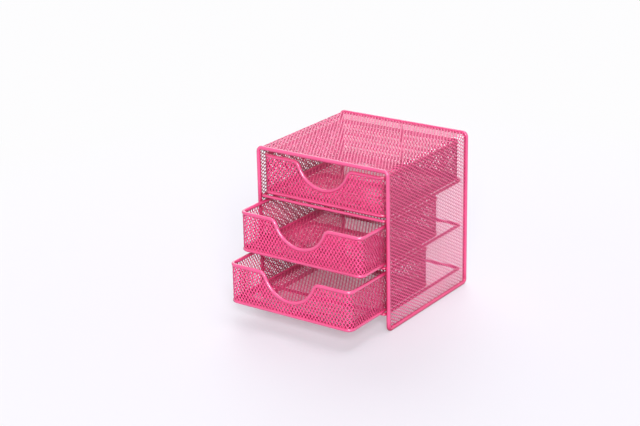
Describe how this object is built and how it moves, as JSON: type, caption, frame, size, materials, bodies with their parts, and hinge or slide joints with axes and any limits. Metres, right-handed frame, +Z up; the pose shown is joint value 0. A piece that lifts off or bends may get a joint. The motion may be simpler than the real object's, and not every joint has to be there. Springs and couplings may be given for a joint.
{
  "type": "desktop mini drawers",
  "caption": "Free-standing desktop organiser of pink coated wire and diamond mesh, with sliding mesh drawers that have a rounded finger notch.",
  "frame": {"origin": "on the table under the middle of the case, midway between its posts in width and depth", "axes": "+Z up, +X to the right seen from the front, -Y out of the drawer fronts"},
  "size_m": [0.15, 0.2011, 0.1594],
  "materials": {
    "frame_wire": "gloss pink powder coat",
    "case_mesh": "gloss pink powder coat",
    "drawer_wire": "gloss pink powder coat",
    "drawer_mesh": "gloss pink powder coat"
  },
  "bodies": {
    "case": {"frame_wire": "frame_wire", "rear_support_bar": "frame_wire", "lower_runner_loop": "frame_wire", "middle_runner_loop": "frame_wire", "upper_runner_loop": "frame_wire", "left_side_mesh": "case_mesh", "right_side_mesh": "case_mesh", "left_fold_mesh": "case_mesh", "right_fold_mesh": "case_mesh", "top_mesh": "case_mesh"},
    "top_drawer": {"top_drawer_rim_wire": "drawer_wire", "top_drawer_base_wire": "drawer_wire", "top_drawer_front_mesh": "drawer_mesh", "top_drawer_rear_mesh": "drawer_mesh", "top_drawer_left_mesh": "drawer_mesh", "top_drawer_right_mesh": "drawer_mesh", "top_drawer_floor_mesh": "drawer_mesh", "top_drawer_floor_edge": "drawer_mesh"},
    "middle_drawer": {"middle_drawer_rim_wire": "drawer_wire", "middle_drawer_base_wire": "drawer_wire", "middle_drawer_front_mesh": "drawer_mesh", "middle_drawer_rear_mesh": "drawer_mesh", "middle_drawer_left_mesh": "drawer_mesh", "middle_drawer_right_mesh": "drawer_mesh", "middle_drawer_floor_mesh": "drawer_mesh", "middle_drawer_floor_edge": "drawer_mesh"},
    "bottom_drawer": {"bottom_drawer_rim_wire": "drawer_wire", "bottom_drawer_base_wire": "drawer_wire", "bottom_drawer_front_mesh": "drawer_mesh", "bottom_drawer_rear_mesh": "drawer_mesh", "bottom_drawer_left_mesh": "drawer_mesh", "bottom_drawer_right_mesh": "drawer_mesh", "bottom_drawer_floor_mesh": "drawer_mesh", "bottom_drawer_floor_edge": "drawer_mesh"}
  },
  "joints": [
    {"name": "top_drawer_slide", "type": "slide", "parent": "case", "child": "top_drawer", "axis": [0, -1, 0], "range_m": [0, 0.1]},
    {"name": "middle_drawer_slide", "type": "slide", "parent": "case", "child": "middle_drawer", "axis": [0, -1, 0], "range_m": [-0.039, 0.061]},
    {"name": "bottom_drawer_slide", "type": "slide", "parent": "case", "child": "bottom_drawer", "axis": [0, -1, 0], "range_m": [-0.05775, 0.04225]}
  ]
}
